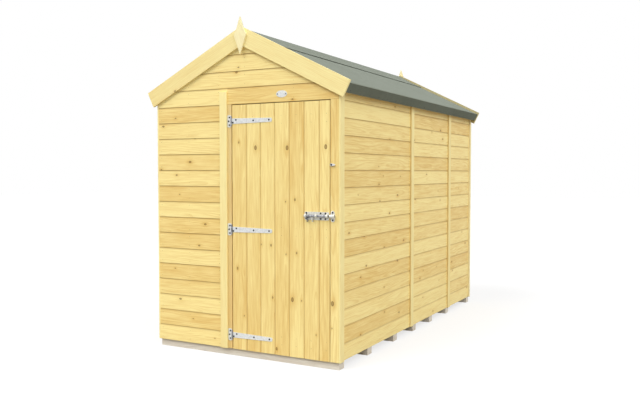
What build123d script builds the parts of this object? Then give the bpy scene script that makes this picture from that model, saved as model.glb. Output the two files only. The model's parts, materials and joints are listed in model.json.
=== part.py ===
# Timber apex shed, nominally 5 ft by 9 ft, with one door in the front gable.
# Millimetres, +Z up. The front faces -Y. The origin is on the ground, below the middle of the shed.

from build123d import *
from math import cos, radians, sin, tan
import os

# Overall sizes
gable_width = 1465
side_panels = (1220, 915, 610)
board_cover = 112
wall_rows = 16
door_rows = 15
roof_pitch = 26.5
eaves_overhang = 78

# Timber sections
bearer_width = 70
bearer_height = 50
bearer_end_recess = 2
bearer_set_back = 14
bearer_offsets = ((441, 903), (82, 469, 900), ())
floor_thick = 11
floor_joint = 2
cladding_thick = 12
groove_height = 9
groove_depth = 4
frame_depth = 28
stud_width = 45
rail_height = 45
tie_height = 45
rafter_height = 45
purlin_height = 45
stud_inset = 1
trim_width = 58
trim_thick = 12
back_trim_width = 30
deck_thick = 11
batten_thick = 28
eaves_batten_height = 46
felt_thick = 2.5
felt_lap = 185
barge_width = 115
barge_thick = 16
barge_rise = 25
barge_past_felt = 3

# Finial, measured from its top point
finial_thick = 12
finial_length = 253
finial_above_barge = 63
finial_shoulder = (28, 79)
finial_widest = (50, 121)
finial_round = 10

# Door and the opening it closes
door_width = 754
door_gap = 5
door_first_board = 117
ledge_width = 70
ledge_thick = 28
ledge_inset = 20
latch_post_width = 60
threshold_set_back = 5
threshold_clearance = 6

# Tee hinges
top_hinge_below_leaf_top = 109
middle_hinge_share = 0.496
hinge_post_edge_gap = 1
hinge_sheet = 2.5
hinge_knuckle_radius = 5
hinge_pin_radius = 2.5
hinge_running_gap = 0.05
hinge_end_gap = 0.5
hinge_plate_width = 29
hinge_plate_height = 83
hinge_plate_corner = 8
strap_length = 326
strap_root_height = 38
strap_tip_height = 27

# Pad bolt
bolt_above_wall_bottom = 937
bolt_plate_length = 178
bolt_plate_height = 52
bolt_plate_thick = 2.5
bolt_plate_corner = 5
bolt_plate_edge = 3
bolt_rod_radius = 8
bolt_rod_length = 177
bolt_rod_set_back = 4
bolt_running_gap = 0.5
bolt_guide_wall = 3
bolt_guide_width = 14
bolt_guide_inset = 3
bolt_throw = 35
bolt_lug_thick = 3
bolt_lug_width = 16
bolt_lug_drop = 38
bolt_lug_from_end = 23
padlock_hole_radius = 4
keeper_width = 34
keeper_lobe_radius = 14
keeper_lobe_spacing = 44
keeper_from_door = 6

# Turn button
button_above_wall_bottom = 1265
button_pivot_from_opening = 10
button_head_radius = 9
button_tail_radius = 4
button_reach = 24
button_thick = 3
button_stand_off = 5
button_boss_radius = 6
button_seat_gap = 0.3

# Bare oval plate over the door
oval_width = 101
oval_height = 52
oval_thick = 1.5
oval_left_of_opening_middle = -21
oval_above_door = 55

# Levels and faces that follow
half_width = gable_width / 2
body_length = sum(side_panels) + 2 * (cladding_thick + frame_depth)
half_length = body_length / 2
front_face = -half_length
gable_depth = cladding_thick + frame_depth
wall_bottom = bearer_height
floor_top = wall_bottom + floor_thick
rail_top = floor_top + rail_height
lintel_bottom = wall_bottom + door_rows * board_cover
eaves_height = wall_bottom + wall_rows * board_cover
tie_top = lintel_bottom + tie_height
slope = radians(roof_pitch)
roof_slope = half_width / cos(slope) + eaves_overhang
underside_ridge = eaves_height + half_width * tan(slope)
felt_bottom_level = deck_thick
felt_top_level = deck_thick + felt_thick
felt_end = roof_slope - barge_past_felt
barge_top_level = felt_top_level + barge_rise
barge_front = half_length + barge_thick

# Door opening, from its left side to its right side as seen from the front
opening_right = half_width - latch_post_width
opening_left = opening_right - door_width - 2 * door_gap
leaf_left = opening_left + door_gap
leaf_right = opening_right - door_gap
leaf_bottom = wall_bottom
leaf_top = lintel_bottom - door_gap
hinge_x = (opening_left + leaf_left) / 2
hinge_y = front_face - hinge_knuckle_radius
hinge_plate_right = hinge_x - hinge_knuckle_radius - hinge_end_gap
hinge_plate_left = hinge_plate_right - hinge_plate_width
hinge_post_left = hinge_plate_left - hinge_post_edge_gap - trim_width / 2
low_hinge = rail_top + threshold_clearance + ledge_width / 2
top_hinge = leaf_top - top_hinge_below_leaf_top
middle_hinge = low_hinge + middle_hinge_share * (top_hinge - low_hinge)
hinge_heights = (low_hinge, middle_hinge, top_hinge)
bolt_height = wall_bottom + bolt_above_wall_bottom
button_height = wall_bottom + button_above_wall_bottom


def box_between(x, y, z):
    """A box from three (low, high) pairs."""
    size = (x[1] - x[0], y[1] - y[0], z[1] - z[0])
    middle = ((x[0] + x[1]) / 2, (y[0] + y[1]) / 2, (z[0] + z[1]) / 2)
    return Pos(*middle) * Box(*size)


def face_of(points):
    """A flat face bounded by straight edges through the points."""
    return make_face(Polyline(*points, close=True))


def along_x(points, x):
    """Extrude a (y, z) outline from x[0] to x[1]."""
    plane = Plane(origin=(x[0], 0, 0), x_dir=(0, 1, 0), z_dir=(1, 0, 0))
    return extrude(plane * face_of(points), amount=x[1] - x[0])


def along_y(outline, y):
    """Extrude an (x, z) outline, given as points or as a face, from y[0] to y[1]."""
    plane = Plane(origin=(0, y[1], 0), x_dir=(1, 0, 0), z_dir=(0, -1, 0))
    face = face_of(outline) if isinstance(outline, (list, tuple)) else outline
    return extrude(plane * face, amount=y[1] - y[0])


def along_z(points, z):
    """Extrude an (x, y) outline from z[0] to z[1]."""
    plane = Plane(origin=(0, 0, z[0]))
    return extrude(plane * face_of(points), amount=z[1] - z[0])


def underside(x):
    """Height of the roof deck's underside at a distance x from the middle."""
    return underside_ridge - abs(x) * tan(slope)


def roof_point(side, run, level):
    """The (x, z) point at a run down the slope from the ridge and a level square to the deck's underside."""
    x = run * cos(slope) + level * sin(slope)
    z = underside_ridge - run * sin(slope) + level * cos(slope)
    return (side * x, z)


def ridge_point(level):
    """The point of a roof layer in the ridge's upright plane."""
    return (0, underside_ridge + level / cos(slope))


def roof_layer(side, low, high, end):
    """Outline of a layer of the roof from the ridge to a square-cut end."""
    return [ridge_point(low), roof_point(side, end, low), roof_point(side, end, high), ridge_point(high)]


def joint_heights(top):
    """Heights of the joints between boards below a top."""
    rows = range(1, int((top - wall_bottom) / board_cover) + 1)
    return [wall_bottom + row * board_cover for row in rows if wall_bottom + row * board_cover < top - 1]


def groove_outline(face, inwards, joint):
    """Outline of one groove: square under the upper board, sloping out over the lower one."""
    past = face - inwards * groove_depth
    depth = face + inwards * groove_depth
    return [(past, joint), (depth, joint), (face, joint - groove_height), (past, joint - groove_height)]


def grooved_side_panel(side, y):
    """One side wall panel, with its top cut to the roof's underside."""
    outer = side * half_width
    inner = side * (half_width - cladding_thick)
    outline = [(outer, wall_bottom), (inner, wall_bottom), (inner, underside(inner)), (outer, eaves_height)]
    grooves = [along_y(groove_outline(outer, -side, z), y) for z in joint_heights(eaves_height)]
    return along_y(outline, y) - grooves


def grooved_gable(outline, end, bottom):
    """Gable cladding of an (x, z) outline; end is -1 for the front and 1 for the back."""
    outer = end * half_length
    inner = end * (half_length - cladding_thick)
    panel = along_y(outline, sorted((inner, outer)))
    xs = [point[0] for point in outline]
    heights = [z for z in joint_heights(max(point[1] for point in outline)) if z > bottom + 1]
    grooves = [along_x(groove_outline(outer, -end, z), (min(xs), max(xs))) for z in heights]
    return panel - grooves


def gable_outline(bottom):
    """Outline of a gable from a bottom height to the roof's underside."""
    return [
        (-half_width, bottom),
        (half_width, bottom),
        (half_width, eaves_height),
        (0, underside_ridge),
        (-half_width, eaves_height),
    ]


def panel_spans():
    """Front and back of each side panel."""
    spans = []
    start = front_face + gable_depth
    for length in side_panels:
        spans.append((start, start + length))
        start += length
    return spans


# Ground and floor

def bearers():
    """One bearer at each end and those between, placed from the front of each side panel."""
    end = half_length - bearer_set_back - bearer_width / 2
    middles = [-end]
    for (start, _), offsets in zip(panel_spans(), bearer_offsets):
        middles += [start + offset for offset in offsets]
    middles.append(end)
    x = half_width - bearer_end_recess
    return [
        box_between((-x, x), (y - bearer_width / 2, y + bearer_width / 2), (0, bearer_height))
        for y in middles
    ]


def floor_panels():
    x = half_width - cladding_thick
    edge = half_length - cladding_thick
    joints = [span[1] for span in panel_spans()[:-1]]
    starts = [-edge] + [joint + floor_joint / 2 for joint in joints]
    ends = [joint - floor_joint / 2 for joint in joints] + [edge]
    return [box_between((-x, x), span, (wall_bottom, floor_top)) for span in zip(starts, ends)]


# Side walls

def side_studs():
    studs = []
    outer = half_width - cladding_thick
    for side in (-1, 1):
        x = sorted((side * (outer - frame_depth), side * outer))
        for start, end in panel_spans():
            middle = (start + end) / 2
            starts = (start + stud_inset, middle - stud_width / 2, end - stud_inset - stud_width)
            for y in starts:
                studs.append(box_between(x, (y, y + stud_width), (rail_top, eaves_height - rail_height)))
    return studs


def side_rails():
    rails = []
    outer = half_width - cladding_thick
    inner = outer - frame_depth
    y = (panel_spans()[0][0], panel_spans()[-1][1])
    top_bottom = eaves_height - rail_height
    for side in (-1, 1):
        rails.append(box_between(sorted((side * inner, side * outer)), y, (floor_top, rail_top)))
        outline = [
            (side * inner, top_bottom),
            (side * outer, top_bottom),
            (side * outer, underside(outer)),
            (side * inner, underside(inner)),
        ]
        rails.append(along_y(outline, y))
    return rails


# Gable walls

def gable_frame_span(end):
    """Front and back of the framing in a gable."""
    return sorted((end * (half_length - cladding_thick), end * (half_length - gable_depth)))


def gable_studs(end):
    """Upright framing of one gable; the front one leaves the door opening free."""
    y = gable_frame_span(end)
    half = stud_width / 2
    low = (rail_top, lintel_bottom)
    corner = (-half_width, -half_width + stud_width)
    if end < 0:
        middle = (corner[1] + hinge_post_left) / 2
        studs = [box_between(corner, y, low), box_between((middle - half, middle + half), y, low)]
    else:
        third = half_width / 3
        studs = [box_between(corner, y, low), box_between((-corner[1], -corner[0]), y, low)]
        studs += [box_between((x - half, x + half), y, low) for x in (-third, third)]
    head = underside(half)
    king = [(-half, tie_top), (half, tie_top), (half, head), (0, underside_ridge), (-half, head)]
    studs.append(along_y(king, y))
    for side in (-1, 1):
        outer = side * half_width
        inner = side * (half_width - stud_width)
        top_outer = underside(outer) - rafter_height / cos(slope)
        top_inner = underside(inner) - rafter_height / cos(slope)
        studs.append(along_y([(outer, tie_top), (inner, tie_top), (inner, top_inner), (outer, top_outer)], y))
    return studs


def gable_rails(end):
    """Level framing of one gable: bottom rail and tie."""
    y = gable_frame_span(end)
    rails = [box_between((-half_width, half_width), y, (lintel_bottom, tie_top))]
    if end < 0:
        rails.append(box_between((-half_width, hinge_post_left), y, (floor_top, rail_top)))
        set_back = (y[0] + threshold_set_back, y[1])
        rails.append(box_between((opening_left, opening_right), set_back, (floor_top, rail_top)))
    else:
        rails.append(box_between((-half_width, half_width), y, (floor_top, rail_top)))
    return rails


def gable_rafters(end):
    """Two sloping members under the roof deck, either side of the king post, above the tie."""
    y = gable_frame_span(end)
    half = stud_width / 2
    drop = rafter_height / cos(slope)
    over_tie = box_between((-half_width, half_width), y, (tie_top, underside_ridge))
    rafters = []
    for side in (-1, 1):
        head = side * half
        foot = side * half_width
        outline = [
            (head, underside(head) - drop),
            (foot, underside(foot) - drop),
            (foot, underside(foot)),
            (head, underside(head)),
        ]
        rafters.append(along_y(outline, y) & over_tie)
    return rafters


def door_post(left, right):
    """A post beside the opening, with its foot rebated over the floor's edge."""
    front = (front_face, front_face + cladding_thick)
    back = (front_face + cladding_thick, front_face + gable_depth)
    face_part = box_between((left, right), front, (wall_bottom, lintel_bottom))
    frame_part = box_between((left, right), back, (floor_top, lintel_bottom))
    return face_part + frame_part


def front_cover_strip():
    middle = hinge_post_left
    x = (middle - trim_width / 2, middle + trim_width / 2)
    return box_between(x, (front_face - trim_thick, front_face), (wall_bottom, eaves_height - 2 * trim_thick))


# Trim on the sides

def side_strip(side, y):
    """Strip on a side wall, up to the roof's underside."""
    outer = side * (half_width + trim_thick)
    inner = side * half_width
    outline = [
        (inner, wall_bottom),
        (outer, wall_bottom),
        (outer, underside(outer)),
        (inner, underside(inner)),
    ]
    return along_y(outline, y)


def corner_trim(side, end):
    """Strip flush with a gable's face; the back ones are narrower."""
    width = trim_width if end < 0 else back_trim_width
    return side_strip(side, sorted((end * half_length, end * (half_length - width))))


def side_cover_strips():
    half = trim_width / 2
    joints = [span[1] for span in panel_spans()[:-1]]
    return [side_strip(side, (y - half, y + half)) for side in (-1, 1) for y in joints]


# Roof

def roof_deck(side):
    end = felt_end - felt_thick
    return along_y(roof_layer(side, 0, deck_thick, end), (-half_length, half_length))


def roof_battens():
    """Eaves battens along the deck's edges, with purlins and ridge battens between the gable frames."""
    battens = []
    outside = (-half_length, half_length)
    inside = (-half_length + gable_depth, half_length - gable_depth)
    eaves_end = felt_end - felt_thick
    purlin = roof_slope / 2
    ridge_start = purlin_height * tan(slope) + stud_inset
    for side in (-1, 1):
        runs = (
            (eaves_end - batten_thick, eaves_end, eaves_batten_height, outside),
            (purlin - batten_thick / 2, purlin + batten_thick / 2, purlin_height, inside),
            (ridge_start, ridge_start + batten_thick, purlin_height, inside),
        )
        for start, end, height, y in runs:
            outline = [
                roof_point(side, start, -height),
                roof_point(side, end, -height),
                roof_point(side, end, 0),
                roof_point(side, start, 0),
            ]
            battens.append(along_y(outline, y))
    return battens


def felt_sheet(side):
    """Felt over one slope, folded down over the deck's edge and the eaves batten."""
    inner = felt_end - felt_thick
    outline = [
        ridge_point(felt_bottom_level),
        roof_point(side, inner, felt_bottom_level),
        roof_point(side, inner, -eaves_batten_height),
        roof_point(side, felt_end, -eaves_batten_height),
        roof_point(side, felt_end, felt_top_level),
        ridge_point(felt_top_level),
    ]
    return along_y(outline, (-half_length, half_length))


def felt_ridge():
    """Capping strip that laps both slopes at the ridge."""
    top = felt_top_level + felt_thick
    outline = [
        ridge_point(felt_top_level),
        roof_point(1, felt_lap, felt_top_level),
        roof_point(1, felt_lap, top),
        ridge_point(top),
        roof_point(-1, felt_lap, top),
        roof_point(-1, felt_lap, felt_top_level),
    ]
    return along_y(outline, (-half_length, half_length))


def barge_board(side, end):
    outline = roof_layer(side, barge_top_level - barge_width, barge_top_level, roof_slope)
    return along_y(outline, sorted((end * half_length, end * barge_front)))


def finial(end):
    top = ridge_point(barge_top_level)[1] + finial_above_barge
    half = [(x, top - drop) for x, drop in (finial_shoulder, finial_widest)]
    outline = [(0, top)] + half + [(0, top - finial_length)] + [(-x, z) for x, z in reversed(half)]
    face = face_of(outline)
    widest = face.vertices().sort_by(Axis.X)
    face = fillet([widest[0], widest[-1]], finial_round)
    return along_y(face, sorted((end * barge_front, end * (barge_front + finial_thick))))


# Door

def door_boards():
    depth = (front_face, front_face + cladding_thick)
    leaf = box_between((leaf_left, leaf_right), depth, (leaf_bottom, leaf_top))
    half = groove_height / 2
    past = front_face - groove_depth
    bottom = front_face + groove_depth
    grooves = []
    joint = leaf_left + door_first_board
    while joint < leaf_right - half:
        outline = [(joint - 2 * half, past), (joint + 2 * half, past), (joint, bottom)]
        grooves.append(along_z(outline, (leaf_bottom, leaf_top)))
        joint += board_cover
    return leaf - grooves


def ledge_span():
    """Front and back of the ledges and braces behind the boards."""
    return (front_face + cladding_thick, front_face + cladding_thick + ledge_thick)


def door_ledges():
    x = (leaf_left + ledge_inset, leaf_right - ledge_inset)
    half = ledge_width / 2
    return [box_between(x, ledge_span(), (z - half, z + half)) for z in hinge_heights]


def door_braces():
    """Two braces that rise from the hinge side of one ledge to the latch side of the next."""
    left = leaf_left + ledge_inset
    right = leaf_right - ledge_inset
    half = ledge_width / 2
    braces = []
    for low, high in zip(hinge_heights, hinge_heights[1:]):
        outline = [
            (left, low + half),
            (left + ledge_width, low + half),
            (right, high - half),
            (right - ledge_width, high - half),
        ]
        braces.append(along_y(outline, ledge_span()))
    return braces


# Tee hinges

def knuckle(radius, z):
    return Pos(hinge_x, hinge_y, (z[0] + z[1]) / 2) * Cylinder(radius, z[1] - z[0])


def hinge_strap(height):
    """Tapering strap on the door, with the middle knuckle bored for the pin."""
    half_root = strap_root_height / 2
    half_tip = strap_tip_height / 2
    tip_centre = hinge_x + strap_length - half_tip
    outline = make_face(
        [
            Line((hinge_x, height - half_root), (tip_centre, height - half_tip)),
            ThreePointArc(
                (tip_centre, height - half_tip),
                (tip_centre + half_tip, height),
                (tip_centre, height + half_tip),
            ),
            Line((tip_centre, height + half_tip), (hinge_x, height + half_root)),
            Line((hinge_x, height + half_root), (hinge_x, height - half_root)),
        ]
    )
    span = (height - half_root, height + half_root)
    strap = along_y(outline, (front_face - hinge_sheet, front_face))
    strap += knuckle(hinge_knuckle_radius, span)
    return strap - knuckle(hinge_pin_radius + hinge_running_gap, span)


def hinge_plate(height):
    """Plate on the post, with the outer knuckles and the pin."""
    half = hinge_plate_height / 2
    middle = (hinge_plate_left + hinge_plate_right) / 2
    plate = Pos(middle, height) * RectangleRounded(hinge_plate_width, hinge_plate_height, hinge_plate_corner)
    body = along_y(plate, (front_face - hinge_sheet, front_face))
    inner = strap_root_height / 2 + hinge_end_gap
    outer = half - hinge_plate_corner
    for low, high in ((-outer, -inner), (inner, outer)):
        z = (height + low, height + high)
        x = (hinge_plate_right - hinge_plate_corner, hinge_x)
        body += knuckle(hinge_knuckle_radius, z)
        body += box_between(x, (front_face - hinge_sheet, front_face), z)
    return body + knuckle(hinge_pin_radius, (height - outer, height + outer))


# Pad bolt

bolt_plate_right = leaf_right - bolt_plate_edge
bolt_plate_left = bolt_plate_right - bolt_plate_length
bolt_bore_radius = bolt_rod_radius + bolt_running_gap
bolt_y = front_face - bolt_plate_thick - bolt_bore_radius
rod_right = leaf_right - bolt_rod_set_back
rod_left = rod_right - bolt_rod_length
lug_left = rod_left + bolt_lug_from_end
ear_left = lug_left + bolt_throw + bolt_lug_thick + bolt_running_gap


def saddle(x):
    """An arch over the bolt rod, bored for it, standing on the plate."""
    outer = bolt_bore_radius + bolt_guide_wall
    back = front_face - bolt_plate_thick
    middle = (x[0] + x[1]) / 2
    turned = Rot(0, 90, 0)
    arch = Pos(middle, bolt_y, bolt_height) * turned * Cylinder(outer, x[1] - x[0])
    arch += box_between(x, (bolt_y, back), (bolt_height - outer, bolt_height + outer))
    keep = box_between(x, (bolt_y - 2 * outer, back), (bolt_height - 2 * outer, bolt_height + 2 * outer))
    bore = Pos(middle, bolt_y, bolt_height) * turned * Cylinder(bolt_bore_radius, 2 * (x[1] - x[0]))
    return (arch & keep) - bore


def padlock_tab(x):
    """A flat tab below the rod with a hole for a padlock's shackle."""
    top = bolt_height - bolt_rod_radius
    bottom = bolt_height - bolt_lug_drop
    y = (bolt_y - bolt_lug_width / 2, bolt_y + bolt_lug_width / 2)
    tab = box_between((x, x + bolt_lug_thick), y, (bottom, top))
    hole_height = bottom + bolt_lug_width / 2
    hole = Pos(x + bolt_lug_thick / 2, bolt_y, hole_height) * Rot(0, 90, 0)
    return tab - hole * Cylinder(padlock_hole_radius, 2 * bolt_lug_thick)


def bolt_plate():
    """Back plate on the door with three guides and the fixed padlock ear."""
    middle = (bolt_plate_left + bolt_plate_right) / 2
    outline = RectangleRounded(bolt_plate_length, bolt_plate_height, bolt_plate_corner)
    body = along_y(Pos(middle, bolt_height) * outline, (front_face - bolt_plate_thick, front_face))
    span = bolt_plate_length - 2 * bolt_guide_inset - bolt_guide_width
    for share in (0, 0.5, 1):
        left = bolt_plate_left + bolt_guide_inset + share * span
        body += saddle((left, left + bolt_guide_width))
    ear = padlock_tab(ear_left)
    root = box_between(
        (ear_left, ear_left + bolt_lug_thick),
        (bolt_y, front_face - bolt_plate_thick),
        (bolt_height - bolt_plate_height / 2, bolt_height - bolt_bore_radius - 2 * bolt_running_gap),
    )
    clear = box_between(
        (ear_left - bolt_lug_thick, ear_left + 2 * bolt_lug_thick),
        (bolt_y - bolt_lug_width, bolt_y + bolt_lug_width),
        (bolt_height - bolt_bore_radius - 2 * bolt_running_gap, bolt_height + bolt_rod_radius),
    )
    return body + ((ear + root) - clear - padlock_bore())


def padlock_bore():
    height = bolt_height - bolt_lug_drop + bolt_lug_width / 2
    return Pos(ear_left + bolt_lug_thick / 2, bolt_y, height) * Rot(0, 90, 0) * Cylinder(
        padlock_hole_radius, 2 * bolt_lug_thick
    )


def bolt_rod():
    """Round rod with the padlock lug, drawn back so that the door is free."""
    middle = (rod_left + rod_right) / 2
    rod = Pos(middle, bolt_y, bolt_height) * Rot(0, 90, 0) * Cylinder(bolt_rod_radius, bolt_rod_length)
    ends = rod.edges().filter_by(GeomType.CIRCLE)
    rod = chamfer(ends, bolt_running_gap * 2)
    neck = box_between(
        (lug_left, lug_left + bolt_lug_thick),
        (bolt_y - bolt_lug_width / 2, bolt_y + bolt_lug_width / 2),
        (bolt_height - bolt_rod_radius, bolt_height),
    )
    return rod + padlock_tab(lug_left) + neck


def bolt_keeper():
    """Keeper on the latch post: an arch for the rod between two round lobes for screws."""
    left = leaf_right + keeper_from_door
    middle = left + keeper_width / 2
    base = Pos(middle, bolt_height) * Rectangle(keeper_width, 2 * (bolt_bore_radius + bolt_guide_wall))
    for side in (-1, 1):
        centre = bolt_height + side * keeper_lobe_spacing / 2
        neck = Rectangle(2 * keeper_lobe_radius, keeper_lobe_spacing / 2)
        base += Pos(middle, centre) * Circle(keeper_lobe_radius)
        base += Pos(middle, (bolt_height + centre) / 2) * neck
    body = along_y(base, (front_face - bolt_plate_thick, front_face))
    return body + saddle((left, left + keeper_width))


# Turn button

def turn_button():
    """Teardrop blade on a boss, turned away from the door over the latch post."""
    pivot = opening_right + button_pivot_from_opening
    tail = pivot + button_reach
    blade = make_hull([
        *(Pos(pivot, button_height) * Circle(button_head_radius)).edges(),
        *(Pos(tail, button_height) * Circle(button_tail_radius)).edges(),
    ])
    back = front_face - button_stand_off
    body = along_y(blade, (back - button_thick, back))
    boss = Pos(pivot, button_height) * Circle(button_boss_radius)
    return body + along_y(boss, (back, front_face - button_seat_gap))


def oval_plate():
    middle = (opening_left + opening_right) / 2 - oval_left_of_opening_middle
    outline = Pos(middle, lintel_bottom + oval_above_door) * Ellipse(oval_width / 2, oval_height / 2)
    return along_y(outline, (front_face - oval_thick, front_face))


def all_nodes():
    """Every named piece of the shed, as a list of solids."""
    front_left_outline = [
        (-half_width, wall_bottom),
        (hinge_post_left, wall_bottom),
        (hinge_post_left, lintel_bottom),
        (-half_width, lintel_bottom),
    ]
    nodes = {
        "bearers": bearers(),
        "floor_panels": floor_panels(),
        "front_wall_left": [grooved_gable(front_left_outline, -1, wall_bottom)],
        "front_gable": [grooved_gable(gable_outline(lintel_bottom), -1, lintel_bottom)],
        "hinge_post": [door_post(hinge_post_left, opening_left)],
        "latch_post": [door_post(opening_right, half_width)],
        "front_cover_strip": [front_cover_strip()],
        "back_wall": [grooved_gable(gable_outline(wall_bottom), 1, wall_bottom)],
        "side_studs": side_studs(),
        "side_rails": side_rails(),
        "gable_studs": gable_studs(-1) + gable_studs(1),
        "gable_rails": gable_rails(-1) + gable_rails(1),
        "gable_rafters": gable_rafters(-1) + gable_rafters(1),
        "side_cover_strips": side_cover_strips(),
        "roof_battens": roof_battens(),
        "felt_ridge": [felt_ridge()],
        "finial_front": [finial(-1)],
        "finial_back": [finial(1)],
        "door_boards": [door_boards()],
        "door_ledges": door_ledges(),
        "door_braces": door_braces(),
        "hinge_straps": [hinge_strap(z) for z in hinge_heights],
        "hinge_plates": [hinge_plate(z) for z in hinge_heights],
        "bolt_plate": [bolt_plate()],
        "bolt_rod": [bolt_rod()],
        "bolt_keeper": [bolt_keeper()],
        "turn_button": [turn_button()],
        "oval_plate": [oval_plate()],
    }
    for side, side_name in ((-1, "left"), (1, "right")):
        nodes["roof_deck_" + side_name] = [roof_deck(side)]
        nodes["felt_" + side_name] = [felt_sheet(side)]
        for number, span in enumerate(panel_spans(), 1):
            nodes[f"{side_name}_wall_{number}"] = [grooved_side_panel(side, span)]
        for end, end_name in ((-1, "front"), (1, "back")):
            nodes[f"corner_trim_{end_name}_{side_name}"] = [corner_trim(side, end)]
            nodes[f"barge_{end_name}_{side_name}"] = [barge_board(side, end)]
    return nodes


def write_parts():
    os.makedirs("parts", exist_ok=True)
    for name, pieces in all_nodes().items():
        solids = [solid for piece in pieces for solid in piece.solids()]
        shape = solids[0] if len(solids) == 1 else Compound(children=solids)
        shape.label = name
        export_step(shape, f"parts/{name}.step")


write_parts()
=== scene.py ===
import json
import math
import random

import bmesh
import bpy
from mathutils import Color, Matrix, Vector


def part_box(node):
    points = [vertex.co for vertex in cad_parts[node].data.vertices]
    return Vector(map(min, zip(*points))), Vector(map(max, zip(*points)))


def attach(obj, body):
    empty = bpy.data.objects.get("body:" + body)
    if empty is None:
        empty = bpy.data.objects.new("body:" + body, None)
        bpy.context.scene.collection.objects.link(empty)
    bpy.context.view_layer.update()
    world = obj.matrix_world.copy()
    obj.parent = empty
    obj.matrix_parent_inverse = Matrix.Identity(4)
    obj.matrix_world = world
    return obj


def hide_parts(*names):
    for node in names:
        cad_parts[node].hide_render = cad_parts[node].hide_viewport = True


bl_info = {
    "name": "Apex shed finish",
    "version": (1, 0, 0),
    "blender": (4, 5, 0),
    "location": "3D View > Sidebar > Shed",
    "description": "Boards, trim, felt and zinc fittings for a timber apex shed, and its stage",
    "category": "Object",
}

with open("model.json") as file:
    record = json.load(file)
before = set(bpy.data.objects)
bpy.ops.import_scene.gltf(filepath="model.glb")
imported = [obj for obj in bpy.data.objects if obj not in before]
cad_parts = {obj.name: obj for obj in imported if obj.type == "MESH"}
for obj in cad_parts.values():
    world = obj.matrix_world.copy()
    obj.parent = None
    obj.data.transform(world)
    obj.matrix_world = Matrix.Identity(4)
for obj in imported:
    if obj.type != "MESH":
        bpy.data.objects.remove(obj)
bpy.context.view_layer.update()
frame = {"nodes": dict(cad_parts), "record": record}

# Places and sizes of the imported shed
wall_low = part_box("front_wall_left")[0]
wall_bottom = wall_low.z
front_face = wall_low.y
back_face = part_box("back_wall")[1].y
half_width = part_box("back_wall")[1].x
lintel_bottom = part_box("front_gable")[0].z
ridge_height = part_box("front_gable")[1].z
door_rows = 15
wall_rows = 16
board_cover = (lintel_bottom - wall_bottom) / door_rows
gable_rows = math.ceil((ridge_height - wall_bottom) / board_cover)
eaves_height = wall_bottom + wall_rows * board_cover
slope = math.atan2(ridge_height - eaves_height, half_width)
slope_sin = math.sin(slope)
slope_cos = math.cos(slope)
cladding = 0.012
fitting_sheet = 0.0025
knuckle_radius = 0.005
bodies = frame["record"]["behaviour"]["bodies"]
body_of = {node: body for body, nodes in bodies.items() for node in nodes}
slot_of = {part["node"]: part["material_slot"] for part in frame["record"]["subparts"]}
sides = {"left": -1, "right": 1}

# Angles in degrees over which shading stays sharp
board_angle = 20
head_angle = 30
timber_angle = 35
fitting_angle = 40
felt_angle = 50

# squarely is the least part of a unit vector that counts as pointing along an axis
weld = 1e-5
squarely = 0.9
upright = Vector((0, 0, 1))
forward = Vector((0, -1, 0))


# Settings

def seen(red, green, blue):
    """A colour as it reads on screen, 0 to 255, in linear values."""
    return tuple(Color((red / 255, green / 255, blue / 255)).from_srgb_to_scene_linear())


def length(name, description, default):
    return bpy.props.FloatProperty(
        name=name, description=description, default=default, min=0, precision=4, unit="LENGTH"
    )


def share(name, description, default):
    return bpy.props.FloatProperty(
        name=name, description=description, default=default, min=0, max=1, subtype="FACTOR"
    )


def strength(name, description, default):
    return bpy.props.FloatProperty(
        name=name, description=description, default=default, min=0, subtype="POWER"
    )


def colour(name, description, default):
    return bpy.props.FloatVectorProperty(
        name=name, description=description, default=default, size=3, min=0, max=1, subtype="COLOR"
    )


class ShedTimberSettings(bpy.types.PropertyGroup):
    """Sizes and colours of the boards and timbers"""

    groove_height: length("Groove height", "Height of the slope at a wall board's top edge", 0.013)
    groove_depth: length("Groove depth", "Depth of the slope at a wall board's top edge", 0.004)
    door_groove: length("Door groove", "Width of the slope at each edge of a door board", 0.006)
    tongue: length("Tongue", "Length of the tongue between boards", 0.006)
    joint: length("Joint", "Gap left between boards", 0.0015)
    arris: length("Arris", "Width of the eased edges of planed timber", 0.0015)
    first_door_board: length(
        "First door board", "Width of the door board beside the hinges", 0.117
    )
    pale: colour("Pale board", "The palest planed board", seen(255, 233, 158))
    deep: colour("Deep board", "The deepest planed board", seen(220, 174, 88))
    trim: colour("Trim", "The palest trim and barge boards", seen(255, 239, 170))
    pale_trim: colour(
        "Pale trim", "Wood of the finials and of the palest corner trim", seen(255, 244, 192)
    )
    # Painted shade for the hinge post in the cover strip's shadow and for the side strips' edges
    grey: colour(
        "Grey post", "Post beside the hinges, and edges of the side cover strips",
        seen(232, 210, 150)
    )
    # Darker colour of the back barge boards' inner sides and top edges
    weathered: colour(
        "Weathered", "Inner sides and top edges of the back barge boards", seen(176, 172, 134)
    )
    inner: colour("Framing", "The palest framing timber", seen(240, 220, 165))
    bearer: colour("Bearer", "Sawn bearers", seen(233, 226, 210))
    bearer_deep: colour("Bearer grain", "Darker grain of the sawn bearers", seen(204, 188, 168))
    knot: colour("Knot", "Middle of a knot", seen(120, 88, 40))
    # Colour of the shade painted into the grooves between the boards
    groove: colour("Groove", "Milled grooves between the boards", seen(160, 114, 42))
    knots: share("Knots", "How many of the knot places hold a knot", 0.34)
    door_knots: share(
        "Door knots", "How many of the knot places hold a knot in the door boards", 0.25
    )
    figure: share("Figure", "How strongly the grain shows in the boards", 0.75)
    trim_figure: share(
        "Trim figure", "How strongly the grain shows in the trim and barge boards", 0.4
    )


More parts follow.
